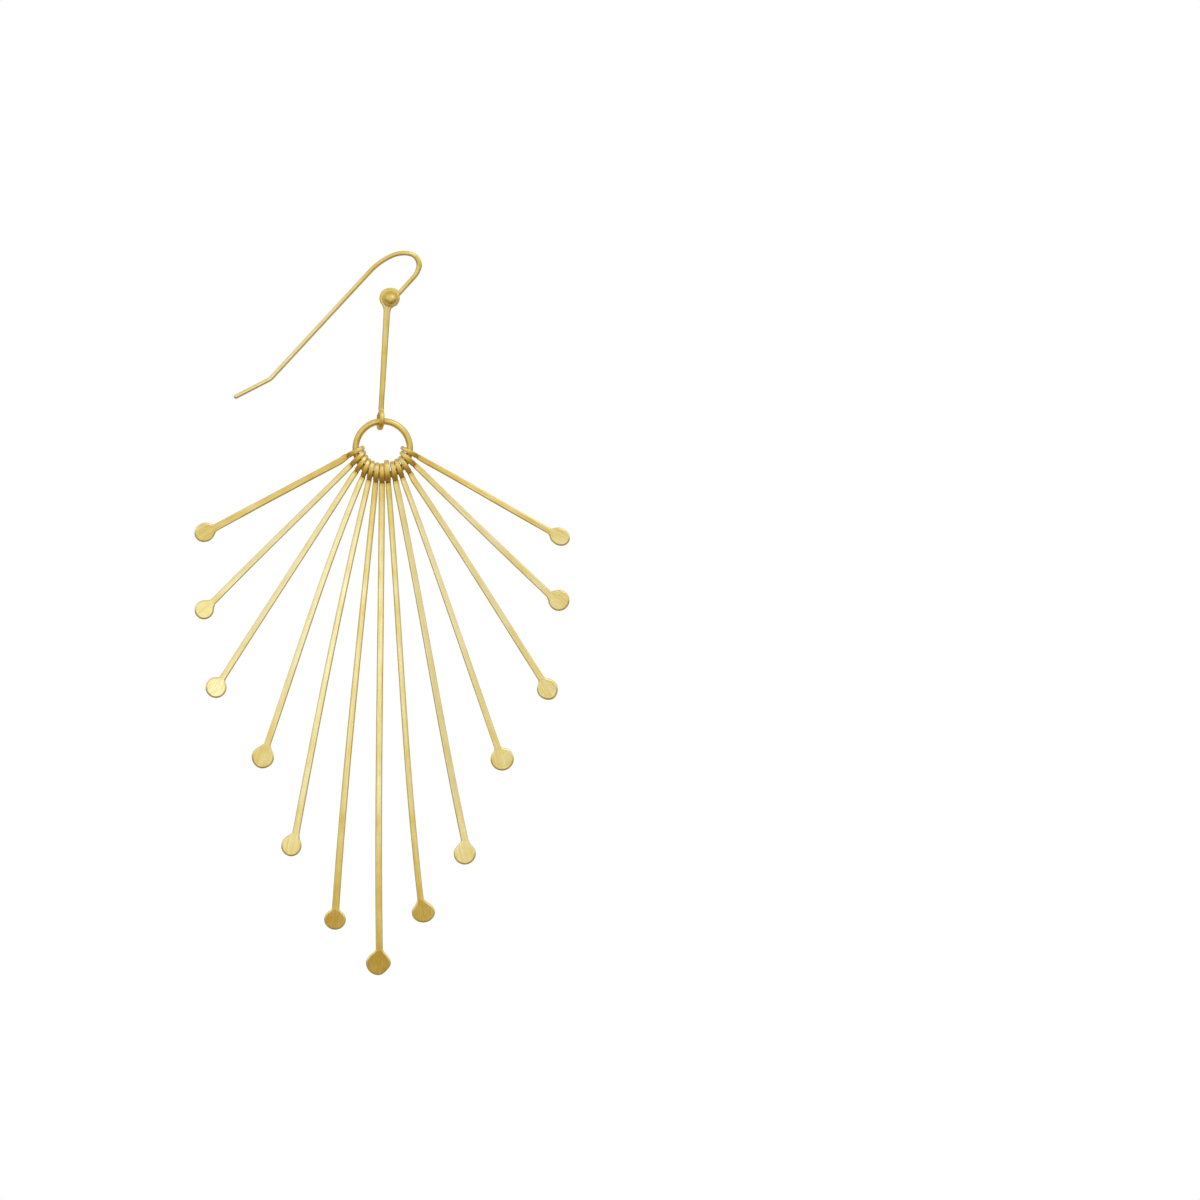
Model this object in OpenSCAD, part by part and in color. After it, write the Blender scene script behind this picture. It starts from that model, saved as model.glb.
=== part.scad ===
// Fringe earring. A balled ear wire carries a flat stem, the stem's eye carries a small
// ring, and thirteen flattened rods of different lengths hang on the ring like a fan.
//
// Millimetres. +Z is up, +X is to the right seen from the front, and the front faces -Y.
// The origin is where the earring sits in the ear: the inside of the ear wire's arc, at its top.

/* [Ear wire] */
// Diameter of the ear wire
wire_d = 0.64; // [0.6:0.02:0.7]
// Distance of the stem, the ring and the rods in front of the ear wire's plane
drop_front = 0.8; // [0.8:0.05:1]
// Length of the front leg, from the end of the arc to the pin that carries the stem
front_leg = 4.45; // [4:0.05:5]
// Length of the back leg, from the end of the arc to the kink
back_leg = 19.55; // [16:0.05:22]
// Angle by which the tail turns outwards at the kink, in degrees
tail_turn = 20; // [10:1:30]
// Length of the straight tail below the kink, with its round end
tail_len = 5.25; // [4.5:0.05:6]
// Radius of the bend that sends the wire forwards through the stem
pin_bend_r = 0.5; // [0.4:0.05:0.5]
// Diameter of the ball on the front end of the wire
ball_d = 1.8; // [1.5:0.1:2]

/* [Stem] */
// Distance from the pin to the middle of the stem's eye
stem_len = 16.3; // [14:0.1:18]
// Angle by which the stem slants to the left on its way down, in degrees
stem_lean = 3.4; // [0:0.1:5]
// Diameter of the round paddle at the stem's top
stem_pad_d = 2.76; // [2.6:0.02:3]
// Thickness of that paddle
stem_pad_t = 0.5; // [0.4:0.02:0.5]
// Diameter of the hole that the ear wire passes through
pin_hole_d = 0.84; // [0.8:0.02:0.9]
// Width of the stem's bar below the paddle
stem_top_w = 0.88; // [0.8:0.02:1]
// Width of the stem's bar above the eye
stem_low_w = 0.68; // [0.66:0.02:0.8]
// Turn of the stem's eye about the stem, which shows its two sides apart, in degrees
stem_eye_turn = 9; // [0:1:15]

/* [Ring] */
// Outer diameter of the ring
ring_d = 8.2; // [8.1:0.05:8.4]
// Diameter of the ring's wire
ring_wire_d = 0.88; // [0.8:0.02:0.9]
// Angle from the ring's top to the place where the stem's eye holds it, in degrees
ring_turn = 5.2; // [0:0.2:10]

/* [Rods] */
// Width of a rod's bar
rod_w = 0.88; // [0.8:0.02:0.9]
// Thickness of a rod's bar
rod_t = 0.48; // [0.4:0.02:0.5]
// Thickness of the paddle at a rod's end
rod_pad_t = 0.42; // [0.36:0.02:0.46]
// Width of the bevel round the paddles and along the bars
edge = 0.1; // [0.06:0.01:0.12]
// Outer diameter of the loop that a rod's top is bent into
eye_d = 2.8; // [2.7:0.05:2.85]
// Diameter of the wire of these loops
eye_wire_d = 0.54; // [0.5:0.01:0.54]

/* [Hidden] */
$fn = 48;
slice = 0.01;
bead_extra = 0.01;
gold = [0.86, 0.76, 0.49];
gap = 0.08;
// How much smaller a bar's end is than the piece it runs into, so that no two faces lie together
sunk = 0.05;

// The rods from left to right, in millimetres and in degrees from straight down, + to the right.
// seat: place on the ring. lean: direction of the rod. reach: from the middle of its eye to its
// far end. lift: how far the eye is pushed in, past the ring's wire. pad: width of its paddle.
// big: how much wider than the others its eye is.
//       seat   lean  reach   lift   pad  big
rods = [
    [-83.4, -62.0,  24.5, -0.05, 2.56, 0.0],
    [-67.8, -45.5,  30.5,  0.12, 2.62, 0.0],
    [-53.9, -33.1,  37.5,  0.18, 2.84, 0.0],
    [-39.7, -19.7,  43.0,  0.22, 2.96, 0.0],
    [-26.8, -12.0,  53.2,  0.30, 2.80, 0.0],
    [-13.6,  -5.3,  62.0,  0.32, 2.94, 0.0],
    [ -1.4,  -0.5,  67.8,  0.32, 3.32, 0.0],
    [ 10.3,   4.7,  61.1,  0.50, 3.14, 0.4],
    [ 24.8,  10.5,  54.0,  0.28, 3.06, 0.0],
    [ 38.5,  19.5,  43.2,  0.20, 3.14, 0.0],
    [ 53.7,  32.4,  37.4, -0.04, 2.86, 0.0],
    [ 67.9,  46.8,  29.4,  0.02, 2.90, 0.0],
    [ 82.4,  60.8,  24.7,  0.02, 2.46, 0.0]
];
SEAT = 0;
LEAN = 1;
REACH = 2;
LIFT = 3;
PAD = 4;
BIG = 5;

// The ear wire's two legs, from the top of the arc. In each row the wire runs straight,
// then bends by an angle: + turns it down on the front leg, - on the back leg.
//    straight  radius  angle
front_rows = [
    [0.0,      3.1,   17.5],
    [0.0,      1.5,   82.0],
    [0.0,      2.4,   35.0]
];
back_rows = [
    [0.0,      4.2,  -23.8],
    [0.0,      8.9,  -23.4],
    [back_leg, 1.5,   tail_turn]
];

// A wire's state is its place in the upright plane, x and z, and how far it has turned from up.
function run(s, len) = [s[0] + len * sin(s[2]), s[1] + len * cos(s[2]), s[2]];
function bend(s, r, a) =
    [s[0] - sign(a) * r * (cos(s[2] + a) - cos(s[2])),
     s[1] + sign(a) * r * (sin(s[2] + a) - sin(s[2])),
     s[2] + a];
function follow(s, rows, n) =
    n == 0 ? s : let (t = run(follow(s, rows, n - 1), rows[n - 1][0]))
        bend(t, rows[n - 1][1], rows[n - 1][2]);

pin = run(follow([0, wire_d / 2, 90], front_rows, len(front_rows)), front_leg);

ball_y = -drop_front - (stem_pad_t + ball_d) / 2 - gap;

// The stem's own frame starts at the pin: along is down the stem, side is to its right.
stem_side = -0.45;
stem_pad_side = -0.2;
stem_pad_up = 0.19;
stem_eye_r = 1.14;
stem_eye_wire_d = 0.6;
stem_t = 0.56;
stem_hang = 0.2;
stem_down = [-sin(stem_lean), -cos(stem_lean)];
stem_right = [cos(stem_lean), -sin(stem_lean)];
ring_r = (ring_d - ring_wire_d) / 2;
ring_hold = [pin[0], pin[1]] + stem_side * stem_right + (stem_len + stem_hang) * stem_down;
ring_mid = ring_hold + ring_r * [sin(ring_turn), -cos(ring_turn)];

eye_r = (eye_d - eye_wire_d) / 2;

ROD_NAMES = [for (i = [1 : len(rods)]) str("rod_", i < 10 ? "0" : "", i)];

// A wire that starts upwards at the origin and bends to the right, or to the left if a is negative.
module bent_wire(r, a) {
    rotate([0, 0, a < 0 ? 180 : 0]) translate([r, 0, 0]) rotate([90, 0, 180])
        rotate_extrude(angle = abs(a)) translate([r, 0]) circle(d = wire_d);
}

// Where such a bend ends, children are drawn in the wire's own direction.
module after_bend(r, a) {
    side = sign(a) * r;
    translate([side, 0, 0]) rotate([0, a, 0]) translate([-side, 0, 0]) children();
}

// A bead a hair wider than the wire, which joins two stretches where they meet.
module bead() {
    sphere(d = wire_d + bead_extra);
}

// A wire through all the rows, with children drawn at its end.
module wire(rows, n = 0) {
    bead();
    if (n == len(rows)) {
        children();
    } else {
        if (rows[n][0] > 0) {
            cylinder(d = wire_d, h = rows[n][0]);
            translate([0, 0, rows[n][0]]) bead();
        }
        translate([0, 0, rows[n][0]]) {
            bent_wire(rows[n][1], rows[n][2]);
            after_bend(rows[n][1], rows[n][2]) wire(rows, n + 1) children();
        }
    }
}

// The front end: a bend out of the wire's plane, a short pin through the stem, and the ball.
module balled_pin() {
    cylinder(d = wire_d, h = front_leg - pin_bend_r);
    translate([0, 0, front_leg - pin_bend_r]) rotate([0, 0, -90]) {
        bead();
        bent_wire(pin_bend_r, 90);
        after_bend(pin_bend_r, 90) {
            bead();
            cylinder(d = wire_d, h = -ball_y - pin_bend_r);
            translate([0, 0, -ball_y - pin_bend_r]) sphere(d = ball_d);
        }
    }
}

module tail_end() {
    cylinder(d = wire_d, h = tail_len - wire_d / 2);
    translate([0, 0, tail_len - wire_d / 2]) sphere(d = wire_d);
}

module ear_wire() {
    color(gold) translate([0, 0, wire_d / 2]) {
        rotate([0, 90, 0]) wire(front_rows) balled_pin();
        rotate([0, -90, 0]) wire(back_rows) tail_end();
    }
}

// A bar's section: a rectangle with its four edges bevelled.
module bar_section(w, t) {
    c = min(edge, t / 3);
    polygon([
        [-w / 2 + c, -t / 2], [w / 2 - c, -t / 2], [w / 2, -t / 2 + c], [w / 2, t / 2 - c],
        [w / 2 - c, t / 2], [-w / 2 + c, t / 2], [-w / 2, t / 2 - c], [-w / 2, -t / 2 + c]
    ]);
}

// A bar that changes width between two heights, each end given as [z, width, thickness].
module tapered_bar(a, b) {
    hull() {
        translate([0, 0, a[0]]) linear_extrude(slice) bar_section(a[1], a[2]);
        translate([0, 0, b[0]]) linear_extrude(slice) bar_section(b[1], b[2]);
    }
}

// A round paddle that faces the front, with both its rims bevelled.
module paddle(d, t) {
    r = d / 2;
    rotate([90, 0, 0]) rotate_extrude()
        polygon([
            [0, -t / 2], [r - edge, -t / 2], [r, -t / 2 + edge],
            [r, t / 2 - edge], [r - edge, t / 2], [0, t / 2]
        ]);
}

// A loop of round wire that stands edge-on to the front, its hole running from side to side.
module eye(r, d) {
    rotate([0, 90, 0]) rotate_extrude() translate([r, 0]) circle(d = d);
}

module stem() {
    shoulder = -stem_pad_d * 0.26;
    shoulder_w = stem_pad_d * 0.5;
    neck = -stem_pad_d * 0.56;
    low = -stem_len + stem_eye_r + 0.5;
    foot = -stem_len + stem_eye_r;
    color(gold) translate([pin[0], -drop_front, pin[1]]) rotate([0, stem_lean, 0]) {
        difference() {
            union() {
                translate([stem_pad_side, 0, stem_pad_up]) paddle(stem_pad_d, stem_pad_t);
                translate([stem_side, 0, 0]) {
                    tapered_bar([neck, stem_top_w, stem_t], [shoulder, shoulder_w, stem_pad_t - sunk]);
                    tapered_bar([low, stem_low_w, stem_t], [neck, stem_top_w, stem_t]);
                    tapered_bar(
                        [foot, stem_eye_wire_d - 2 * sunk, stem_t - 2 * sunk],
                        [low, stem_low_w, stem_t]
                    );
                }
            }
            rotate([90, 0, 0]) cylinder(d = pin_hole_d, h = 4 * stem_pad_t, center = true);
        }
        translate([stem_side, 0, -stem_len]) rotate([0, 0, stem_eye_turn])
            eye(stem_eye_r, stem_eye_wire_d);
    }
}

module ring() {
    color(gold) translate([ring_mid[0], -drop_front, ring_mid[1]]) rotate([90, 0, 0])
        rotate_extrude() translate([ring_r, 0]) circle(d = ring_wire_d);
}

// One rod in its own frame: the middle of its eye at the origin, the rod running down from it.
module rod_shape(reach, pad_d, loop_r) {
    root = -loop_r - 0.5;
    root_w = rod_w * 0.8;
    full = -loop_r - 1.7;
    pad_z = -reach + pad_d / 2;
    neck = pad_z + pad_d * 0.62;
    shoulder = pad_z + pad_d * 0.34;
    shoulder_w = pad_d * 0.7;
    eye(loop_r, eye_wire_d);
    tapered_bar([root, root_w, rod_t], [-loop_r, eye_wire_d - 2 * sunk, rod_t - 2 * sunk]);
    tapered_bar([full, rod_w, rod_t], [root, root_w, rod_t]);
    translate([0, 0, neck]) linear_extrude(full - neck + slice) bar_section(rod_w, rod_t);
    tapered_bar([shoulder, shoulder_w, rod_pad_t - sunk], [neck, rod_w, rod_t]);
    translate([0, 0, pad_z]) paddle(pad_d, rod_pad_t);
}

module rod(n) {
    row = rods[n];
    seat = ring_mid + ring_r * [sin(row[SEAT]), -cos(row[SEAT])];
    mid = seat - row[LIFT] * [sin(row[LEAN]), -cos(row[LEAN])];
    color(gold) translate([mid[0], -drop_front, mid[1]]) rotate([0, -row[LEAN], 0])
        rod_shape(row[REACH], row[PAD], eye_r + row[BIG] / 2);
}

ear_wire();
stem();
ring();
for (n = [0 : len(rods) - 1])
    rod(n);
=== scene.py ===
# %% [markdown]
# # A fringe earring in satin gold
#
# The earring is a hook of round wire with a ball on its front end, a flat stem that hangs on the
# wire, a small ring in the stem's eye, and thirteen rods that hang on the ring like a fan. Each
# rod is one piece of metal: an eye bent over the ring, a long flat bar, and a round flat paddle.
# The solids in the frame have the right places and sizes. Here every one of them gets a finer
# piece in its place, modelled one by one, and a brushed gold finish.

import math

import bmesh
import bpy
from mathutils import Matrix, Vector


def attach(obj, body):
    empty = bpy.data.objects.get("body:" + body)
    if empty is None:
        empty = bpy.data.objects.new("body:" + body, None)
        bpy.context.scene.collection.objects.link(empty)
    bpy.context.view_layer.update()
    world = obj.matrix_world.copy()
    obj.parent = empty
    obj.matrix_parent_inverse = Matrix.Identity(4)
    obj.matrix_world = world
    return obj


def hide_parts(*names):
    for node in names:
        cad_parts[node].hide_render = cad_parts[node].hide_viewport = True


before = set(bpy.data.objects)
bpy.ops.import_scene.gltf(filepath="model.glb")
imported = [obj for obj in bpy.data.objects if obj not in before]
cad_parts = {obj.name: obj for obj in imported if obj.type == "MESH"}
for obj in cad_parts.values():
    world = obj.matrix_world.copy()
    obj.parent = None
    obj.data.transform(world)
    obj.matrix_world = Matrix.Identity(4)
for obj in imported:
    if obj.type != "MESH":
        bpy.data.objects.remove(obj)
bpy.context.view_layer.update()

# %% [markdown]
# ## The camera
#
# The photo looks straight at the earring with a long lens, so nothing is foreshortened. The
# picture is 162 mm wide at the earring, and its middle lies to the earring's right, where the
# pair's other half hangs. A camera 1.5 m in front needs a lens of 333 mm for that on a sensor
# 36 mm wide. It could also be a camera without perspective, but a far one with a long lens is
# what a photographer uses.

# %% Place the camera
MIDDLE_X = 0.0264
MIDDLE_Z = -0.0465
PICTURE_WIDTH = 0.162
CAMERA_AWAY = 1.5
SENSOR_WIDTH = 36

camera_data = bpy.data.cameras.new("camera")
camera_data.sensor_width = SENSOR_WIDTH
camera_data.lens = SENSOR_WIDTH * CAMERA_AWAY / PICTURE_WIDTH
camera_data.clip_start = 0.01
camera_data.clip_end = 20
camera = bpy.data.objects.new("camera", camera_data)
camera.location = (MIDDLE_X, -CAMERA_AWAY, MIDDLE_Z)
camera.rotation_euler = (math.radians(90), 0, 0)
bpy.context.scene.collection.objects.link(camera)
bpy.context.scene.camera = camera
print("lens, mm:", round(camera_data.lens, 1))

# %% [markdown]
# ## Working in millimetres
#
# Jewellery is tiny: a bevel on it is a fifth of a millimetre, which is 0.0002 of Blender's units.
# Tools that merge or clamp lose such sizes, so every piece is modelled at one unit to the
# millimetre in a frame of its own, and is then shrunk, turned and moved to its place in one go.
# Afterwards its object sits at the origin again and the place is in its mesh.

# %% Helpers for holding and picking
MM = 0.001
NEAR = 0.01  # mm: closer than this counts as the same place


def start_clean():
    """Nothing is selected, so that a tool touches only the new piece."""
    if bpy.context.object and bpy.context.object.mode != "OBJECT":
        bpy.ops.object.mode_set(mode="OBJECT")
    bpy.ops.object.select_all(action="DESELECT")


def hold(piece):
    """Only this piece is selected."""
    start_clean()
    bpy.context.view_layer.objects.active = piece
    piece.select_set(True)


def edit(piece):
    """Opens the piece for modelling."""
    hold(piece)
    bpy.ops.object.mode_set(mode="EDIT")
    bpy.ops.mesh.select_mode(type="FACE")


def pick(piece, kind, test):
    """Selects the faces or the edges for which the test is true, and no others."""
    bpy.ops.mesh.select_mode(type=kind)
    bpy.ops.mesh.select_all(action="DESELECT")
    mesh = bmesh.from_edit_mesh(piece.data)
    picked = [part for part in (mesh.faces if kind == "FACE" else mesh.edges) if test(part)]
    for part in picked:
        part.select_set(True)
    bmesh.update_edit_mesh(piece.data)
    return len(picked)


def pick_faces(piece, test):
    """Selects the faces for which test(middle, normal) is true, and no others."""
    return pick(piece, "FACE", lambda face: test(face.calc_center_median(), face.normal))


def softly(reach):
    """Settings for a move that takes its surroundings along, less and less up to the reach."""
    return {
        "use_proportional_edit": True,
        "proportional_edit_falloff": "SMOOTH",
        "proportional_size": reach,
    }


# %% Helpers for finishing a piece
def fade(value, none, full):
    """0 at none, 1 at full, and straight between."""
    return min(1, max(0, (value - none) / (full - none)))


def remember_grain(piece, polish_and_light_at):
    """Keeps each point's place in the piece's own frame, for the brushing to follow, and how pale
    the gold is made there, which paints light and shade: the function gives 0 where shade is
    painted in a deep corner, about 1 on a flat and more where a painted highlight is palest."""
    piece.data.attributes.new("grain", "FLOAT_VECTOR", "POINT")
    piece.data.attributes.new("polish", "FLOAT", "POINT")
    # the second one moves the first one in memory, so both are fetched when both are there
    grain = piece.data.attributes["grain"].data
    polish = piece.data.attributes["polish"].data
    for point, place, painted_level in zip(piece.data.vertices, grain, polish):
        place.vector = point.co
        painted_level.value = polish_and_light_at(point.co, point.normal)


def put_in_place(piece, place, turn=(0, 0, 0)):
    """From millimetres at its own origin to metres in the earring, with the place in the mesh."""
    hold(piece)
    piece.rotation_euler = turn
    piece.scale = (MM, MM, MM)
    piece.location = Vector(place) * MM
    bpy.ops.object.transform_apply(location=True, rotation=True, scale=True)


def stand_in(piece, node, body, finish):
    """The piece takes the solid's part, moves with its body and wears the finish."""
    piece.data.materials.clear()
    piece.data.materials.append(finish)
    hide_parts(node)
    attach(piece, body)
    print(f"{node}: {len(piece.data.polygons)} faces")


# %% [markdown]
# ## A small language for finishes
#
# A finish is a network of shader nodes. Written out node by node it is hard to read, so one
# small class stands for a value in the network, and Python's own signs add the maths nodes.
# Every other node comes from one method that takes the node's type, its settings, and what its
# sockets are given.

# %% Values that can be reckoned with
class Value:
    """One output socket, which the usual signs work on."""

    def __init__(self, finish, socket):
        self.finish = finish
        self.socket = socket

    def sibling(self, output):
        """Another output of the node that this one comes from."""
        return Value(self.finish, self.socket.node.outputs[output])

    def _reckon(self, operation, first, second):
        settings = {"operation": operation}
        return self.finish.node("ShaderNodeMath", settings, {0: first, 1: second})

    def __add__(self, other):
        return self._reckon("ADD", self, other)

    def __radd__(self, other):
        return self._reckon("ADD", other, self)

    def __sub__(self, other):
        return self._reckon("SUBTRACT", self, other)

    def __rsub__(self, other):
        return self._reckon("SUBTRACT", other, self)

    def __mul__(self, other):
        return self._reckon("MULTIPLY", self, other)

    def __rmul__(self, other):
        return self._reckon("MULTIPLY", other, self)


class Finish:
    """A material or a world that is being written."""

    def __init__(self, owner):
        owner.use_nodes = True
        self.tree = owner.node_tree
        self.tree.nodes.clear()

    def give(self, socket, what):
        """Links a value to the socket, or sets it to a number or a colour."""
        if isinstance(what, Value):
            self.tree.links.new(what.socket, socket)
        else:
            socket.default_value = what

    def node(self, kind, settings=None, sockets=None, output=0):
        """Adds a node and returns its output. The settings are made before the sockets."""
        made = self.tree.nodes.new(kind)
        for name, setting in (settings or {}).items():
            if name == "stops":
                ramp = made.color_ramp
                while len(ramp.elements) < len(setting):
                    ramp.elements.new(0.5)
                for element, (place, colour) in zip(ramp.elements, setting):
                    element.position = place
                    element.color = colour
            else:
                setattr(made, name, setting)
        for name, what in (sockets or {}).items():
            self.give(made.inputs[name], what)
        return Value(self, made.outputs[output]) if made.outputs else made


# %% [markdown]
# ## Satin gold
#
# The metal is plated in a pale yellow gold and brushed with a fine abrasive, which leaves it
# matte. The brushing runs along each bar, so its marks are stretched along the piece's own
# length, which the grain attribute remembers, and a few scratches cross them. The marks show as
# streaks of paler gold, as a soft unevenness of roughness and as a very low bump. Wide cloudy
# patches keep long bars from looking like plastic. One gold of a single colour would be quicker.
# A second attribute paints light and shade into the colour: each paddle and bar gets its own
# paleness for how it catches the light, rims, the eyes' crowns and the hook's long leg get a
# painted highlight, and the places between and below the eyes, the ring and the ball get painted
# shade. Where it is low the metal is also rougher.

# %% Mix the golds
PALE_GOLD = (1.00, 0.92, 0.60, 1)
MIDDLE_GOLD = (0.91, 0.76, 0.31, 1)
DEEP_GOLD = (0.78, 0.55, 0.12, 1)
MIDDLE_POLISH_AND_LIGHT = 0.6
MIDDLE_TONE = 0.4
SCRATCH_TURN = math.radians(-32)
SCRATCH_SIZES = (9, 9, 0.5)
CLOUD_SIZE = 0.35


def noise(finish, place, size, detail, roughness):
    """A soft random pattern from 0 to 1, the finer the larger the size is."""
    return finish.node(
        "ShaderNodeTexNoise", {},
        {"Vector": place, "Scale": size, "Detail": detail, "Roughness": roughness},
    )


def satin_gold(name, along, across, depth, gloss, streaks):
    """Brushed gold: along and across set the marks' size, depth their height in mm, gloss the
    least roughness, and streaks how much the marks change the colour."""
    metal = bpy.data.materials.new(name)
    finish = Finish(metal)
    place = finish.node("ShaderNodeAttribute", {"attribute_name": "grain"}, output="Vector")
    polish = finish.node("ShaderNodeAttribute", {"attribute_name": "polish"}, output="Fac")
    stretched = finish.node(
        "ShaderNodeMapping", {}, {"Vector": place, "Scale": (across, across, along)}
    )
    crossing = finish.node(
        "ShaderNodeMapping", {},
        {"Vector": place, "Rotation": (0, SCRATCH_TURN, 0), "Scale": SCRATCH_SIZES},
    )
    marks = noise(finish, stretched, size=1.0, detail=4.0, roughness=0.6)
    scratches = noise(finish, crossing, size=1.0, detail=2.0, roughness=0.5)
    clouds = noise(finish, place, size=CLOUD_SIZE, detail=2.0, roughness=0.5)
    # each pattern is 0.5 in the middle, so it makes the gold paler here and deeper there
    spread = (marks - 0.5) * streaks + (scratches - 0.5) * 0.6 + (clouds - 0.5) * 0.8
    # the second attribute paints light and shade: higher makes the gold paler as a painted
    # highlight, lower makes it deeper as painted shade
    tone = spread + (polish - MIDDLE_POLISH_AND_LIGHT) * 0.5 + MIDDLE_TONE
    colour = finish.node(
        "ShaderNodeValToRGB",
        {"stops": [(0.0, DEEP_GOLD), (0.5, MIDDLE_GOLD), (1.0, PALE_GOLD)]},
        {"Fac": tone},
    )
    height = marks + scratches * 0.4 + clouds
    bump = finish.node(
        "ShaderNodeBump", {}, {"Height": height, "Strength": 1.0, "Distance": depth * MM}
    )
    shader = finish.node(
        "ShaderNodeBsdfPrincipled",
        {},
        {
            "Base Color": colour,
            "Metallic": 1.0,
            "Roughness": (1 - marks) * 0.16 + scratches * 0.08 + (1 - polish) * 0.1 + gloss,
            "Coat Weight": 0.12,
            "Coat Roughness": 0.35,
            "Normal": bump,
        },
    )
    finish.node("ShaderNodeOutputMaterial", {}, {"Surface": shader})
    return metal


bar_gold = satin_gold(
    "brushed_gold_bar", along=0.2, across=5.5, depth=0.006, gloss=0.26, streaks=1.4
)
wire_gold = satin_gold(
    "drawn_gold_wire", along=1.2, across=1.2, depth=0.006, gloss=0.24, streaks=0.5
)
print("finishes:", bar_gold.name, wire_gold.name)

# %% [markdown]
# ## A wire in the hands
#
# The hook is made as a goldsmith makes it: a length of wire is held at its end and pushed
# straight or bent round a former. In Blender a straight stretch is an extrusion of the wire's
# end face, and a bend is a spin of that face about the former's middle. It could also be a curve
# with a round section, but then the ball and the hammered places would have to be stuck on. A
# little helper keeps where the end is and which way it points, so that each step starts where
# the last one ended.

# %% The end of a wire
CLOCKWISE = (0, 1, 0)  # as the camera sees it
ANTICLOCKWISE = (0, -1, 0)
TO_CAMERA = Vector((0, -1, 0))


class WireEnd:
    """The selected end face of a wire: its middle and the way it points."""

    def __init__(self, place, heading):
        self.place = Vector(place)
        self.heading = Vector(heading).normalized()

    def push(self, length, steps=1):
        """Goes straight on."""
        for _ in range(steps):
            move = self.heading * (length / steps)
            bpy.ops.mesh.extrude_region_move(TRANSFORM_OT_translate={"value": move})
            self.place += move

    def bend(self, radius, degrees, axis, steps):
        """Turns about a line along axis, at radius from the wire, by the right-hand rule."""
        axis = Vector(axis).normalized()
        side = math.copysign(radius, degrees)
        middle = self.place + axis.cross(self.heading) * side
        angle = math.radians(degrees)
        # spin counts its angle the other way round
        bpy.ops.mesh.spin(steps=steps, angle=-angle, center=middle, axis=axis)
        turn = Matrix.Rotation(angle, 3, axis)
        self.place = middle + turn @ (self.place - middle)
        self.heading = turn @ self.heading

    def swell(self, x, y, z):
        """Widens or narrows the end face round its own middle."""
        bpy.ops.transform.resize(value=(x, y, z), center_override=self.place)

    def curl(self, radius, degrees, axis, steps, widths):
        """A bend in which the wire widens or narrows a little at each step."""
        for _ in range(steps):
            self.bend(radius, degrees / steps, axis, 1)
            self.swell(*widths)


def eye_start(bend_r, eye_r):
    """How far from an eye's middle its bar starts to bend, and how many degrees it first bends
    to the other side, so that the eye ends up in line with the bar."""
    between = bend_r + eye_r
    return math.sqrt(between**2 - bend_r**2), 90 - math.degrees(math.asin(bend_r / between))


# %% [markdown]
# ## The ear wire
#
# A soft wire of 0.64 mm makes the hook. It starts at the top of the arc, where it rests in the
# ear. Forwards it runs over the arc and down to the stem, turns through the stem's hole and ends
# in a ball. Backwards it runs in two slow curves into the long leg, and ends in a short, slightly
# thinner tail that is kinked outwards. The ball is grown from the wire's end face by pushing it
# forwards and widening it ring by ring, as a ball is melted on the end of a wire. The arc is
# hammered a little wider, which keeps the spring in it.

# %% Bend the ear wire
WIRE_R = 0.32
BALL_R = 0.9
BALL_Y = -2.03
DROP_Y = -0.8  # the stem and the fan hang this far in front of the wire's arc
START = 0.01

start_clean()
bpy.ops.mesh.primitive_cylinder_add(
    vertices=24, radius=WIRE_R, depth=2 * START, location=(0, 0, WIRE_R),
    rotation=(0, math.radians(90), 0),
)
ear_wire = bpy.context.object
ear_wire.name = "ear_wire_bent"
bpy.ops.object.transform_apply(location=True, rotation=True, scale=True)
edit(ear_wire)

pick_faces(ear_wire, lambda middle, normal: normal.x > 0.9)
front = WireEnd((START, 0, WIRE_R), (1, 0, 0))
front.bend(radius=3.1, degrees=17.5, axis=CLOCKWISE, steps=6)
front.bend(radius=1.5, degrees=82, axis=CLOCKWISE, steps=20)
front.bend(radius=2.763, degrees=33, axis=CLOCKWISE, steps=10)
front.push(length=3.302, steps=7)
front.bend(radius=2.0, degrees=16, axis=CLOCKWISE, steps=5)
front.bend(radius=0.5, degrees=90, axis=front.heading.cross(TO_CAMERA), steps=8)
pin = front.place.copy()
enter = math.asin(WIRE_R / BALL_R)  # where the wire goes into the ball
front.push(front.place.y - BALL_Y - BALL_R * math.cos(enter), steps=2)
print("the pin stands at x, z:", round(pin.x, 3), round(pin.z, 3))

# %% Melt the ball on its front end
BALL_STEPS = 14
width = math.sin(enter)
depth = math.cos(enter)
for step in range(1, BALL_STEPS):
    angle = enter + (math.pi - enter) * step / BALL_STEPS
    front.push(BALL_R * (depth - math.cos(angle)))
    wider = math.sin(angle) / width
    front.swell(wider, wider, wider)
    width = math.sin(angle)
    depth = math.cos(angle)
front.push(BALL_R * (depth + 1))
bpy.ops.mesh.merge(type="CENTER")
print("the ball ends at y:", round(front.place.y, 3))

# %% Bend the back leg and the tail
TIP_ROUNDING = 0.88  # of the wire's radius

pick_faces(ear_wire, lambda middle, normal: normal.x < -0.9 and abs(middle.x) < 0.1)
back = WireEnd((-START, 0, WIRE_R), (-1, 0, 0))
back.bend(radius=4.2, degrees=23.8, axis=ANTICLOCKWISE, steps=9)
back.bend(radius=8.9, degrees=23.4, axis=ANTICLOCKWISE, steps=10)
back.push(length=19.55, steps=16)
back.curl(radius=1.5, degrees=20, axis=CLOCKWISE, steps=6, widths=(0.99, 0.99, 0.99))
back.push(length=5.25, steps=6)
bpy.ops.mesh.select_mode(type="EDGE")
bpy.ops.mesh.bevel(offset=WIRE_R * TIP_ROUNDING, segments=5, profile=0.5, affect="EDGES")
print("the tail ends at x, z:", round(back.place.x, 3), round(back.place.z, 3))

# %% Hammer the arc wider where it turns down
TURN_X = 1.98
TURN_Z = -1.25
WIDER = 1.2
THINNER = 0.82

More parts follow.
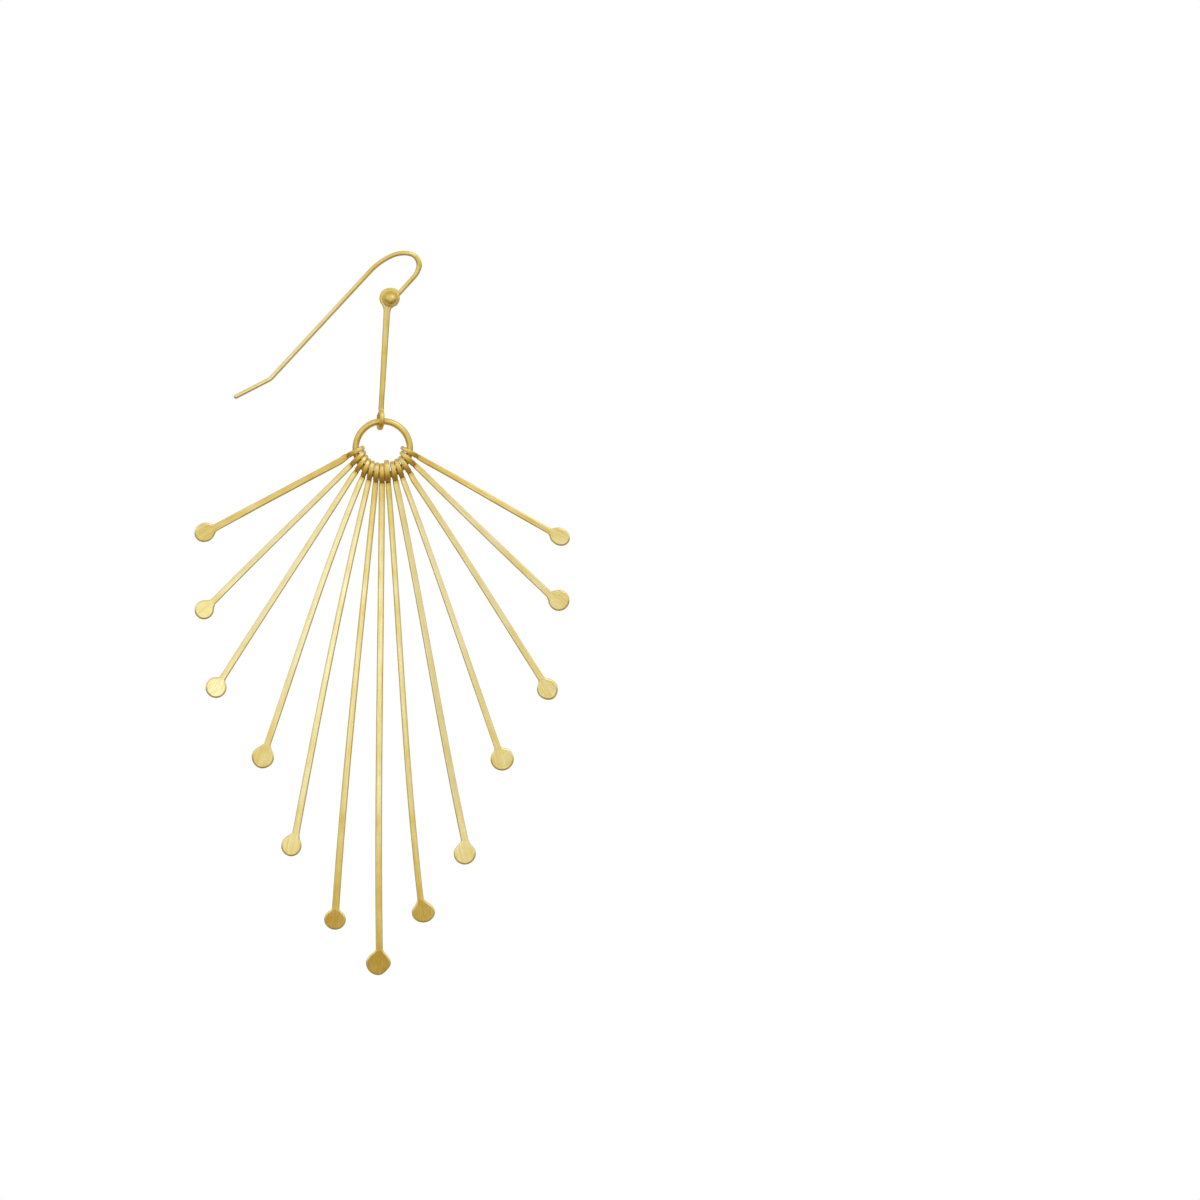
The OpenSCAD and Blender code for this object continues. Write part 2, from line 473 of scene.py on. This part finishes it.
hammered = pick_faces(
    ear_wire, lambda middle, normal: middle.x > TURN_X - 0.6 and abs(middle.z - TURN_Z) < 0.12
)
bpy.ops.transform.resize(
    value=(WIDER, THINNER, 1), center_override=(TURN_X, 0, TURN_Z), **softly(1.6)
)
print("faces under the hammer:", hammered)


# %% Finish the ear wire
def wire_painted_light(place, normal):
    """Painted light: the long leg is made palest, a painted highlight, and the ball deep, a
    painted shade.
    """
    leg = fade(-place.z, 2, 6)
    ball = fade(-place.y, 0.9, 1.3)
    return 0.75 + 0.8 * leg - ball


bpy.ops.object.mode_set(mode="OBJECT")
bpy.ops.object.shade_smooth()
remember_grain(ear_wire, wire_painted_light)
put_in_place(ear_wire, (0, 0, 0))
stand_in(ear_wire, "ear_wire", "hook", wire_gold)

# %% [markdown]
# ## Crisp rims
#
# The flat parts are sawn from sheet and their rims are filed to a narrow bevel, which catches a
# thin line of light above and a dark one below. A Bevel modifier makes it on the edges that are
# given a weight. Paddles have three quarters of a weight, and bars and eyes, which are filed
# rounder, have a whole one. Between the two the weight rises in small steps, so that no shoulder
# shows. The bevel could also be cut with the bevel tool, but the modifier takes all weights in
# one go. Weighted normals then keep the flat faces flat right up to the bevel.

# %% Bevel a sawn piece
BEVEL = 0.2
BEVEL_ROWS = 3
PADDLE_WEIGHT = 0.75
WEIGHT_STEPS = 6
FOLD = 0.02  # mm: points this close after bevelling are merged, so that nothing folds over
SHARP = math.radians(35)
FLATS_LEAD = 80  # over 50, the larger faces lead


def file_rims(piece, roundness):
    """Weights the sharp edges, where roundness(place) is 0 on a paddle and 1 on bar and eye."""
    for level in range(WEIGHT_STEPS + 1):
        picked = pick(
            piece,
            "EDGE",
            lambda e: e.is_manifold
            and e.calc_face_angle(0) > SHARP
            and round(roundness((e.verts[0].co + e.verts[1].co) / 2) * WEIGHT_STEPS) == level,
        )
        if picked:
            weight = PADDLE_WEIGHT + (1 - PADDLE_WEIGHT) * level / WEIGHT_STEPS
            bpy.ops.transform.edge_bevelweight(value=weight)
    bpy.ops.object.mode_set(mode="OBJECT")
    bpy.ops.object.shade_smooth()
    bevel = piece.modifiers.new("rims", "BEVEL")
    bevel.limit_method = "WEIGHT"
    bevel.width = BEVEL
    bevel.segments = BEVEL_ROWS
    bevel.use_clamp_overlap = False
    bpy.ops.object.modifier_apply(modifier="rims")
    edit(piece)
    bpy.ops.mesh.select_all(action="SELECT")
    bpy.ops.mesh.remove_doubles(threshold=FOLD)
    bpy.ops.object.mode_set(mode="OBJECT")
    keep_flats_flat(piece)


def keep_flats_flat(piece):
    """Large faces decide how the light falls on the small ones beside them."""
    piece.modifiers.new("flats", "WEIGHTED_NORMAL").weight = FLATS_LEAD
    bpy.ops.object.modifier_apply(modifier="flats")


# %% [markdown]
# ## The stem
#
# The stem is sawn from one strip: a paddle at the top, pierced for the ear wire, with a shallow
# dish round the ball and its upper right drawn out a little, and a bar that narrows on its way
# down. Its foot is rounded, bent forwards over the ring and brought back up behind itself, and
# it is twisted a little, so that both sides of the eye show from the front. It starts as a coin.
# Part of the coin's rim is pushed out and flattened into shoulders, and the end of these goes on
# as the bar. A bar could also be a box that is joined to a coin, but then the join would show as
# a seam, and the rim would be no single line.

# %% A coin and the bar that grows from it
SHOULDER = math.radians(45)  # the bar takes up this much of the coin's rim, either way


def on_rim(normal):
    """A face of the rim stands square to the front."""
    return abs(normal.y) < 0.1


def cut_coin(name, x, z, half_wide, half_tall, thick):
    """A round blank that faces the front, ready for modelling."""
    start_clean()
    bpy.ops.mesh.primitive_cylinder_add(
        vertices=48, radius=1, depth=thick, rotation=(math.radians(90), 0, 0), end_fill_type="NGON"
    )
    coin = bpy.context.object
    coin.name = name
    bpy.ops.object.transform_apply(location=True, rotation=True, scale=True)
    edit(coin)
    bpy.ops.mesh.select_all(action="SELECT")
    bpy.ops.transform.resize(value=(half_wide, 1, half_tall), center_override=(0, 0, 0))
    bpy.ops.transform.translate(value=(x, 0, z))
    return coin


class BarEnd:
    """The selected end of a flat bar: where its middle is, and its width."""

    def __init__(self, x, z, width):
        self.x = x
        self.z = z
        self.width = width

    def flatten(self, x, z, width):
        """The part of a coin's rim that is picked becomes one straight end."""
        bpy.ops.mesh.extrude_region_move(TRANSFORM_OT_translate={"value": (x - self.x, 0, 0)})
        bpy.ops.transform.resize(value=(width / self.width, 1, 0), center_override=(x, 0, z))
        self.x, self.z, self.width = x, z, width

    def go(self, x, z, width):
        """The bar goes on to a new place, with a new width there."""
        move = (x - self.x, 0, z - self.z)
        bpy.ops.mesh.extrude_region_move(TRANSFORM_OT_translate={"value": move})
        bpy.ops.transform.resize(value=(width / self.width, 1, 1), center_override=(x, 0, z))
        self.x, self.z, self.width = x, z, width


def pick_end(piece, end_z):
    """Selects the bar's end face, which looks straight up or down at this height."""
    return pick_faces(
        piece, lambda middle, normal: abs(normal.z) > 0.999 and abs(middle.z - end_z) < NEAR
    )


def weld_flats(piece, thick, end_z):
    """Front, back and end become one face each, so that the end has four corners."""
    for face_y in (-thick / 2, thick / 2):
        pick_faces(piece, lambda middle, normal: abs(middle.y - face_y) < NEAR)
        bpy.ops.mesh.dissolve_faces(use_verts=True)
    pick_end(piece, end_z)
    bpy.ops.mesh.dissolve_faces(use_verts=True)
    bpy.ops.mesh.select_all(action="SELECT")
    bpy.ops.mesh.normals_make_consistent(inside=False)
    pick_end(piece, end_z)


# %% Saw the stem
STEM_R = 1.38
STEM_THICK = 0.5
STEM_X = -0.45
COIN_X = -0.2
COIN_Z = 0.19
NECK_Z = -1.8
NECK_WIDTH = 0.90
UPPER_RIGHT = Vector((0.69, 0, 1.25))
DRAWN_OUT = (0.05, 0, 0.18)

stem = cut_coin("stem_sawn", COIN_X, COIN_Z, STEM_R, STEM_R, STEM_THICK)
pick_faces(stem, lambda middle, normal: on_rim(normal) and (middle - UPPER_RIGHT).length < 0.15)
bpy.ops.transform.translate(value=DRAWN_OUT, **softly(0.9))
pick_faces(stem, lambda middle, normal: normal.z < -math.cos(SHOULDER))
bar = BarEnd(COIN_X, COIN_Z, 2 * STEM_R * math.sin(SHOULDER))
bar.flatten(x=-0.35, z=-1.0, width=1.46)
bar.go(x=-0.40, z=-1.2, width=1.15)
bar.go(x=-0.43, z=-1.45, width=0.98)
bar.go(STEM_X, NECK_Z, NECK_WIDTH)
weld_flats(stem, STEM_THICK, NECK_Z)
print("the stem's faces so far:", len(bmesh.from_edit_mesh(stem.data).faces))

# %% Draw the bar down and bend its eye
STEM_LONG = 16.3  # from the pin to the eye's middle
STEM_BEND_R = 0.45
STEM_EYE_R = 1.14
STEM_ROWS = 12
NARROWER = 0.19
EASE = 1.0  # the last stretch above the bend, where the bar gets a little wider again
TWIST = math.radians(12)

above_eye, bend_turn = eye_start(STEM_BEND_R, STEM_EYE_R)
stem_foot = -STEM_LONG + above_eye
for row in range(1, STEM_ROWS + 1):
    share = row / STEM_ROWS
    bar.go(
        STEM_X, NECK_Z + (stem_foot + EASE - NECK_Z) * share, NECK_WIDTH - NARROWER * share
    )
bar.go(STEM_X, stem_foot + EASE / 2, width=0.72)
bar.go(STEM_X, stem_foot, width=0.74)
bpy.ops.transform.rotate(
    value=-TWIST, orient_axis="Z", center_override=(STEM_X, 0, stem_foot)
)
sideways = Vector((math.cos(TWIST), math.sin(TWIST), 0))
picked = pick_end(stem, stem_foot)
print("end faces after the twist:", picked)
eye = WireEnd((STEM_X, 0, stem_foot), (0, 0, -1))
eye.curl(STEM_BEND_R, -bend_turn, sideways, steps=8, widths=(0.985, 1, 1))
eye.bend(STEM_EYE_R, degrees=281, axis=sideways, steps=34)
eye.curl(STEM_EYE_R, degrees=51, axis=sideways, steps=6, widths=(0.93, 0.93, 0.93))
print("the stem's eye ends at:", [round(c, 3) for c in eye.place])
file_rims(stem, lambda place: fade(place.z, -0.9, -2.2))

# %% Dish and pierce the stem, and hang it on the wire
HOLE_R = 0.42
DISH_R = 5.5
DISH_DEPTH = 0.13
DISH_X = -0.1
DISH_Z = 0.09
STEM_LEAN = math.radians(3.4)


def cut_away(piece, tool):
    """Takes the tool's form out of the piece."""
    hold(piece)
    cut = piece.modifiers.new("cut", "BOOLEAN")
    cut.operation = "DIFFERENCE"
    cut.object = tool
    bpy.ops.object.modifier_apply(modifier="cut")
    bpy.data.objects.remove(tool)


bpy.ops.mesh.primitive_uv_sphere_add(
    segments=64, ring_count=96, radius=DISH_R, rotation=(math.radians(90), 0, 0),
    location=(DISH_X, -STEM_THICK / 2 - DISH_R + DISH_DEPTH, DISH_Z),
)
cut_away(stem, bpy.context.object)
bpy.ops.mesh.primitive_cylinder_add(
    vertices=32, radius=HOLE_R, depth=3, location=(0, 0, 0), rotation=(math.radians(90), 0, 0)
)
cut_away(stem, bpy.context.object)
keep_flats_flat(stem)
print("the stem's faces after cutting:", len(stem.data.polygons))
# the gold is made deeper and deeper towards the eye
remember_grain(stem, lambda place, normal: 0.95 - 0.6 * fade(-place.z, 2, -stem_foot))
put_in_place(stem, (pin.x, DROP_Y, pin.z), (0, STEM_LEAN, 0))
stand_in(stem, "stem", "stem", bar_gold)

# %% [markdown]
# ## The ring
#
# The ring is a length of round wire bent to a circle and soldered. A circle of the wire's
# section is spun once round, its first and last rows are merged, and the solder seam is a
# slight swelling, which lies at the foot between the rods' eyes. A torus would give the same
# round form at once, but without a seam to work on. It hangs in the stem's eye a little beside
# its own top, where the solid in the frame has it.

# %% Bend and solder the ring
RING_R = 3.66
RING_WIRE_R = 0.44
RING_X = -2.90982
RING_Z = -26.0509
SEAM_HALF = 0.15
SEAM_HEIGHT = 0.02

start_clean()
bpy.ops.mesh.primitive_circle_add(vertices=20, radius=RING_WIRE_R, location=(0, 0, -RING_R))
ring = bpy.context.object
ring.name = "ring_soldered"
bpy.ops.object.transform_apply(location=True, rotation=True, scale=True)
edit(ring)
bpy.ops.mesh.select_mode(type="EDGE")
bpy.ops.mesh.select_all(action="SELECT")
bpy.ops.transform.rotate(
    value=math.radians(90), orient_axis="Y", center_override=(0, 0, -RING_R)
)
bpy.ops.mesh.spin(steps=96, angle=math.radians(360), center=(0, 0, 0), axis=(0, 1, 0))
bpy.ops.mesh.select_all(action="SELECT")
bpy.ops.mesh.remove_doubles(threshold=0.001)
bpy.ops.mesh.normals_make_consistent(inside=False)
pick_faces(ring, lambda middle, normal: middle.z < 0 and abs(middle.x) < SEAM_HALF)
bpy.ops.transform.shrink_fatten(value=SEAM_HEIGHT, **softly(0.5))
bpy.ops.object.mode_set(mode="OBJECT")
bpy.ops.object.shade_smooth()
# painted shade: the ring is made deep, and its lower half, in the eyes' shade, deeper still
remember_grain(ring, lambda place, normal: 0.5 - 0.3 * fade(-place.z, 0, 2))
put_in_place(ring, (RING_X, DROP_Y, RING_Z))
stand_in(ring, "ring", "fan", wire_gold)

# %% [markdown]
# ## The rods
#
# All thirteen are made alike, in a frame of their own with the eye's middle at the origin and
# the rod running down. Each starts as a coin for its paddle. The coin's upper rim is pushed out
# into shoulders, and its front edge is filed to a sloping rim. The bar grows up from the neck,
# and its end is narrowed and bent backwards over the ring into an eye that closes on the bar's
# front, where it is hammered wider again. One rod could be copied twelve times, but no two of
# the real ones are the same: the bars wander a little from a straight line and are turned a
# little about their own length, so that each catches the light in its own way. Some paddles sit
# off their bar's middle, nod, or have their corners filed. A table holds what differs.

# %% What differs from rod to rod
# seat: place on the ring, in degrees. lean: direction of the rod. reach: eye's middle to far end.
# lift: how far the eye is pushed in past the ring's wire. eye: radius of the eye's bend.
# wide, low, neck: half the paddle's width, and from its widest line down and up to the neck.
# aside: the paddle's middle to the right. drift: the bar's middle to the right at the eye, at a
# third, at two thirds and at the neck. thin, broad: the bar's width at the eye and at the neck.
# strand: the eye's width, which the neighbours leave room for. nod: how far the paddle's face
# looks down, in degrees. corners: how far the paddle's slanting sides are filed in, left low and
# high and right low and high. polish, bar_painted_light: how pale the paddle and
# the bar are made, painted light and shade for how brightly each one catches the light, and
# how smooth they are. turn: how far the bar looks to its right, in degrees. Lengths are in
# millimetres.
ROD_FACTS = (
    "seat", "lean", "reach", "lift", "eye", "wide", "low", "neck", "aside", "drift",
    "thin", "broad", "strand", "nod", "corners", "polish", "bar_painted_light", "turn",
)
# the paddles' and bars' paleness columns are painted light and shade, set for how each one catches
# the light
RODS = (
    (-83.4, -62.0, 24.5, -0.05, 1.13, 1.29, 1.44, 1.50, 0.06, (0.15, 0.18, 0.17, 0.17),
     0.92, 1.00, 0.60, 1, None, 0.6, 0.85, -30),
    (-67.8, -45.5, 30.5, 0.12, 1.13, 1.29, 1.33, 1.55, 0.04, (0.00, 0.02, 0.02, 0.10),
     0.78, 0.88, 0.60, -5, None, 1.2, 1.75, -8),
    (-53.9, -33.1, 37.5, 0.18, 1.13, 1.42, 1.44, 1.45, 0.08, (-0.05, 0.03, 0.05, 0.13),
     0.80, 0.88, 0.60, -6.5, None, 1.4, 1.75, -6),
    (-39.7, -19.7, 43.0, 0.22, 1.13, 1.52, 1.52, 1.85, 0.06, (-0.08, -0.34, -0.17, 0.04),
     0.82, 0.92, 0.60, 1, (0.02, 0.02, 0.02, 0.02), 0.85, 1.85, -5),
    (-26.8, -12.0, 53.2, 0.30, 1.13, 1.38, 1.44, 1.75, 0.02, (-0.02, -0.20, -0.07, 0.27),
     0.80, 1.00, 0.62, -1, None, 1.0, 1.6, -4),
    (-13.6, -5.3, 62.0, 0.32, 1.13, 1.47, 1.39, 1.45, -0.02, (0.00, -0.20, -0.30, -0.07),
     0.80, 1.00, 0.63, 6, None, 0.1, 1.15, -3),
    (-1.4, -0.5, 67.8, 0.32, 1.13, 1.68, 1.69, 1.80, 0.06, (-0.02, -0.04, -0.06, 0.19),
     0.86, 0.96, 0.66, 8, (0.00, 0.08, 0.10, 0.06), 0.0, 1.25, 0),
    (10.3, 4.7, 61.1, 0.50, 1.33, 1.57, 1.39, 1.80, -0.03, (-0.01, -0.23, -0.48, -0.25),
     0.78, 0.86, 0.68, 5, None, 0.3, 1.2, 2),
    (24.8, 10.5, 54.0, 0.28, 1.13, 1.50, 1.48, 1.75, 0.01, (0.00, 0.18, 0.14, 0.34),
     0.86, 1.00, 0.65, -1, None, 1.1, 1.6, 6),
    (38.5, 19.5, 43.2, 0.20, 1.13, 1.58, 1.56, 1.55, 0.00, (0.00, 0.08, 0.01, -0.06),
     0.78, 0.90, 0.62, 0, None, 0.9, 1.75, 4),
    (53.7, 32.4, 37.4, -0.04, 1.13, 1.42, 1.52, 1.55, 0.02, (-0.10, 0.09, 0.10, 0.08),
     0.82, 0.92, 0.63, 0, (0.03, 0.03, 0.03, 0.03), 1.15, 1.5, 6),
    (67.9, 46.8, 29.4, 0.02, 1.13, 1.43, 1.44, 1.62, 0.00, (0.00, -0.17, -0.27, -0.30),
     0.80, 0.96, 0.64, 0, None, 1.1, 1.5, 8),
    (82.4, 60.8, 24.7, 0.02, 1.13, 1.19, 1.44, 1.62, -0.10, (-0.04, -0.04, -0.10, -0.10),
     0.88, 0.96, 0.65, -2, None, 0.8, 0.75, 16),
)
ROD_THICK = 0.46
print("rods:", len(RODS), "facts on each:", len(ROD_FACTS))

# %% Saw and file a paddle
SLANT = 0.707  # the slanting sides lie this far out, as a share of width and height
FILE_WIDTH = 0.12
HALF_WAY = 0.55
HOLLOW = 0.40
SLOPE_WIDE = 0.21
SLOPE_EDGE = 0.06
SLOPE_DEEP = 0.09


def wander(drift, share):
    """The smooth line through the four values, at a share of the way from eye to neck."""
    total = 0
    for i, here in enumerate(drift):
        term = here
        for j in range(len(drift)):
            if j != i:
                term *= (share * 3 - j) / (i - j)
        total += term
    return total


def file_corners(rod, fact, widest):
    """The round paddle becomes a rounded diamond: its slanting sides are filed in."""
    sides = ((-1, -1), (-1, 1), (1, -1), (1, 1))
    for (left_right, down_up), much in zip(sides, fact["corners"]):
        spot_x = fact["aside"] + left_right * fact["wide"] * SLANT
        spot_z = widest + down_up * fact["low"] * SLANT
        picked = pick_faces(
            rod,
            lambda middle, normal: on_rim(normal)
            and abs(middle.x - spot_x) < FILE_WIDTH
            and abs(middle.z - spot_z) < FILE_WIDTH,
        )
        if picked:
            inwards = (-left_right * much, 0, -down_up * much)
            bpy.ops.transform.translate(value=inwards, **softly(fact["wide"] * 0.6))


def file_front(rod, neck):
    """The paddle's front gets a wide sloping rim, which runs out at the neck."""
    pick_faces(rod, lambda middle, normal: normal.y < -0.9)
    bpy.ops.mesh.inset(thickness=SLOPE_WIDE, depth=0)
    bpy.ops.mesh.inset(thickness=SLOPE_EDGE, depth=0)
    mesh = bmesh.from_edit_mesh(rod.data)
    for point in mesh.verts:
        outermost = any(on_rim(face.normal) for face in point.link_faces)
        if outermost and point.co.y < 0 and point.co.z < neck - NEAR:
            point.co.y += SLOPE_DEEP
    bmesh.update_edit_mesh(rod.data)


def saw_paddle(name, fact, widest, neck):
    """A coin with shoulders up to the neck, where the end face is left selected."""
    rod = cut_coin(name, fact["aside"], widest, fact["wide"], fact["low"], ROD_THICK)
    pick_faces(rod, lambda middle, normal: normal.z > math.cos(SHOULDER))
    bar = BarEnd(fact["aside"], widest, 2 * fact["wide"] * math.sin(SHOULDER))
    # the shoulders run straight from the coin to the bar, with a slight hollow half way
    bar_x = wander(fact["drift"], 1)
    coin_top = fact["low"] * SLANT
    bar.flatten(
        fact["aside"] * (1 - HALF_WAY) + bar_x * HALF_WAY,
        widest + coin_top + (fact["neck"] - coin_top) * HALF_WAY,
        fact["broad"] + (bar.width - fact["broad"]) * HOLLOW,
    )
    bar.go(bar_x, neck, fact["broad"])
    weld_flats(rod, ROD_THICK, neck)
    if fact["corners"]:
        file_corners(rod, fact, widest)
    file_front(rod, neck)
    pick_end(rod, neck)
    return rod, bar


# %% Draw a bar and bend its eye
EYE_BEND_R = 0.45
BEND_STEPS = 6
ROW = 2.2  # about this far apart the bar has its rows of points
BAR_EASE = 0.9  # the last stretch below the bend, where the bar comes back to the middle
TURN_ROWS = 3
JUST_BELOW = 0.05
ACROSS = (1, 0, 0)


def draw_bar(bar, fact, neck, top, bend_z):
    """From the neck up to where the eye starts to bend, wandering and narrowing."""
    rows = round((top - neck) / ROW)
    for row in range(1, rows + 1):
        share = 1 - row / rows
        width = fact["thin"] + (fact["broad"] - fact["thin"]) * share**1.5
        bar.go(wander(fact["drift"], share), top + (neck - top) * share, width)
    # half way back to the middle, and then all the way
    bar.go(bar.x * 0.5, bend_z - 0.4, fact["thin"] - 0.02)
    bar.go(0, bend_z, fact["thin"] - 0.04)


def bend_eye(bar, fact, bend_z, bend_turn):
    """A little back, narrowing to the strand, up behind the ring and over it, and down in front,
    where the end is hammered wider."""
    eye = WireEnd((0, 0, bend_z), (0, 0, 1))
    narrower = (fact["strand"] / bar.width) ** (1 / BEND_STEPS)
    eye.curl(EYE_BEND_R, -bend_turn, ACROSS, BEND_STEPS, widths=(narrower, 1, 1))
    eye.bend(fact["eye"], degrees=199, axis=ACROSS, steps=22)
    eye.curl(fact["eye"], degrees=126, axis=ACROSS, steps=14, widths=(1.016, 1, 1))


def turn_below(rod, height, degrees, axis, middle):
    """Everything below the height turns by the right-hand rule about a line through middle."""
    pick_faces(rod, lambda place, normal: place.z < height)
    # in the background rotate counts its angle the other way round
    bpy.ops.transform.rotate(
        value=math.radians(-degrees), orient_axis=axis, center_override=middle
    )


def turn_bar(rod, fact, neck, top):
    """The bar turns about its own length in three steps, and back again above the neck, and the
    paddle nods a little at its neck."""
    turn = fact["turn"] / TURN_ROWS
    for row in reversed(range(TURN_ROWS)):
        turn_below(rod, top - ROW * row - JUST_BELOW, turn, "Z", (0, 0, 0))
    for row in reversed(range(TURN_ROWS)):
        turn_below(rod, neck + ROW * row - JUST_BELOW, -turn, "Z", (0, 0, 0))
    turn_below(rod, neck - JUST_BELOW, fact["nod"], "X", (0, 0, neck))


# %% Paint light and shade on a rod, and put it all together
# how pale the painted highlight on a paddle's rim is
RIM_PAINTED_HIGHLIGHT = 1.5
# how pale the painted highlight on the eye's crown is
EYE_PAINTED_HIGHLIGHT = 0.9
ROOT = 9  # mm below the eye, over which the painted shade deepens
# how much painted shade the bar gets at its root
ROOT_PAINTED_SHADE = 0.5
ROUNDER = 0.6  # mm below and above the neck, over which the rims get rounder


def rod_painted_light(fact, neck, bend_z):
    """Says how pale each place is made, which paints light and shade: a paddle with a painted
    highlight on its rim, a bar with painted shade deepening towards its root, painted shade in the
    corner below the eye and on the eye's lower part, and a painted highlight on the eye's crown."""
    paddle_start = neck + (bend_z - neck) * 0.35  # from here down the bar takes on its tone

    def polish_and_light_at(place, normal):
        rim = fade(abs(normal.y), 0.985, 0.9)  # places that lean away from the front, where the rim's painted highlight goes
        paddle = fact["polish"] + max(0, RIM_PAINTED_HIGHLIGHT - fact["polish"]) * rim
        # painted shade: the bar goes deeper towards its root at the eye
        bar = fact["bar_painted_light"] - ROOT_PAINTED_SHADE * fade(place.z, bend_z - ROOT, bend_z)
        bar_or_paddle = bar + (paddle - bar) * fade(place.z, paddle_start, neck)
        # painted shade from just below the bend upwards, and a painted highlight on the eye's
        # crown
        below_eye = 1 - fade(place.z, bend_z - 0.3, bend_z + 0.2)
        return bar_or_paddle * below_eye + EYE_PAINTED_HIGHLIGHT * fade(place.z, -0.1, 0.8)

    return polish_and_light_at


def make_rod(name, fact):
    """One whole rod in millimetres, with its eye's middle at the origin."""
    widest = -fact["reach"] + fact["low"]
    neck = widest + fact["neck"]
    below_eye, bend_turn = eye_start(EYE_BEND_R, fact["eye"])
    bend_z = -below_eye
    top = bend_z - BAR_EASE
    rod, bar = saw_paddle(name, fact, widest, neck)
    draw_bar(bar, fact, neck, top, bend_z)
    bend_eye(bar, fact, bend_z, bend_turn)
    turn_bar(rod, fact, neck, top)
    file_rims(rod, lambda place: fade(place.z, neck - ROUNDER, neck + ROUNDER))
    remember_grain(rod, rod_painted_light(fact, neck, bend_z))
    return rod


# %% Make all thirteen and hang them on the ring
for number, row in enumerate(RODS, 1):
    fact = dict(zip(ROD_FACTS, row))
    seat = math.radians(fact["seat"])
    lean = math.radians(fact["lean"])
    rod = make_rod(f"rod_sawn_{number:02d}", fact)
    eye_x = RING_X + RING_R * math.sin(seat) - fact["lift"] * math.sin(lean)
    eye_z = RING_Z - RING_R * math.cos(seat) + fact["lift"] * math.cos(lean)
    put_in_place(rod, (eye_x, DROP_Y, eye_z), (0, -lean, 0))
    stand_in(rod, f"rod_{number:02d}", "fan", bar_gold)

# %% [markdown]
# ## Floor, light and surroundings
#
# The photo is a cut-out on pure white, so the camera sees white behind the earring. What the
# metal mirrors is another matter. Just above the level there is a bright tent, and below it a
# warm room that ends in a dark brown table, which draws the dark lines on all lower rims. Low
# down at the far left and right it is darker still, the photographer dims the middle of the
# front, and behind the earring all is an even pale grey. Panels round the earring could do the
# same, but one world that changes with direction is easier to tune and leaves no edges in the
# metal. A key light at the upper right gives the ball its highlight, and a small bluish panel in
# front lifts the flats a little. The pale floor lies too far below to show in the picture, and
# the metal doesn't mirror it.

# %% The floor
FLOOR_Z = -0.155

start_clean()
bpy.ops.mesh.primitive_cylinder_add(
    vertices=128, radius=0.38, depth=0.01, location=(0, 0, FLOOR_Z)
)
floor = bpy.context.object
floor.name = "floor"
edge = floor.modifiers.new("edge", "BEVEL")
edge.width = 0.004
edge.segments = 4
bpy.ops.object.modifier_apply(modifier="edge")
bpy.ops.object.shade_smooth_by_angle(angle=math.radians(30))
pale = bpy.data.materials.new("pale_floor")
pale_finish = Finish(pale)
pale_shader = pale_finish.node(
    "ShaderNodeBsdfPrincipled", {}, {"Base Color": (0.84, 0.86, 0.93, 1), "Roughness": 0.8}
)
pale_finish.node("ShaderNodeOutputMaterial", {}, {"Surface": pale_shader})
floor.data.materials.append(pale)
floor.visible_glossy = False
print("floor, mm below the arc:", round(-FLOOR_Z / MM))

# %% The surroundings
BEHIND_GREY = (0.55, 0.52, 0.44, 1)
BRIGHTNESS = 1.1
# from straight down, over the level at 0.5, to straight up
ROOM = [
    (0.00, (0.13, 0.085, 0.025, 1)),
    (0.08, (0.22, 0.155, 0.055, 1)),
    (0.20, (0.42, 0.33, 0.15, 1)),
    (0.43, (0.49, 0.40, 0.19, 1)),
    (0.50, (0.68, 0.60, 0.38, 1)),
    (0.60, (0.86, 0.82, 0.69, 1)),
    (0.75, (0.80, 0.75, 0.60, 1)),
    (1.00, (0.68, 0.63, 0.48, 1)),
]

studio = bpy.data.worlds.new("studio")
bpy.context.scene.world = studio
tent = Finish(studio)


def between(value, low, high, start=0.0, end=1.0):
    """start where the value is low, end where it is high, and straight between."""
    return tent.node(
        "ShaderNodeMapRange", {"clamp": True},
        {"Value": value, "From Min": low, "From Max": high, "To Min": start, "To Max": end},
    )


towards = tent.node("ShaderNodeTexCoord", output="Generated")
up = tent.node("ShaderNodeSeparateXYZ", {}, {0: towards}, output="Z")
right = up.sibling("X")
away = up.sibling("Y")
room = tent.node("ShaderNodeValToRGB", {"stops": ROOM}, {"Fac": up * 0.5 + 0.5})
far_sides = between(right * right, 0.45, 0.95, end=0.6)
low_down = between(up, -0.05, 0.3, start=1.0, end=0.0)
photographer = between(0 - away, 0.86, 1.0, start=1.0, end=0.8)
behind = between(away, -0.1, 0.5)
seen = tent.node(
    "ShaderNodeMix", {"data_type": "RGBA"}, {0: behind, 6: room, 7: BEHIND_GREY}, output=2
)
strength = (1 - far_sides * low_down) * photographer * BRIGHTNESS
soft = tent.node("ShaderNodeBackground", {}, {"Color": seen, "Strength": strength})
white = tent.node("ShaderNodeBackground", {}, {"Color": (1, 1, 1, 1), "Strength": 1.0})
camera_ray = tent.node("ShaderNodeLightPath", output="Is Camera Ray")
mixed = tent.node("ShaderNodeMixShader", {}, {0: camera_ray, 1: soft, 2: white})
tent.node("ShaderNodeOutputWorld", {}, {"Surface": mixed})
bpy.context.scene.view_settings.view_transform = "Standard"
print("nodes in the surroundings:", len(tent.tree.nodes))


# %% The lights
def soft_light(name, place, aim, size, watts):
    """A rectangle that shines from its place to the aim, and isn't seen itself."""
    lamp = bpy.data.lights.new(name, "AREA")
    lamp.shape = "RECTANGLE"
    lamp.size, lamp.size_y = size
    lamp.energy = watts
    light = bpy.data.objects.new(name, lamp)
    light.location = place
    light.rotation_euler = (Vector(aim) - Vector(place)).to_track_quat("-Z", "Y").to_euler()
    light.visible_camera = False
    bpy.context.scene.collection.objects.link(light)
    return light


soft_light(
    "key_upper_right", place=(0.20, -0.22, 0.42), aim=(-0.003, 0, -0.05), size=(0.2, 0.2),
    watts=0.24,
)
panel = soft_light(
    "front_panel", place=(-0.014, -0.16, -0.052), aim=(-0.014, 0, -0.052), size=(0.05, 0.07),
    watts=0.013,
)
panel.data.color = (0.75, 0.88, 1.0)
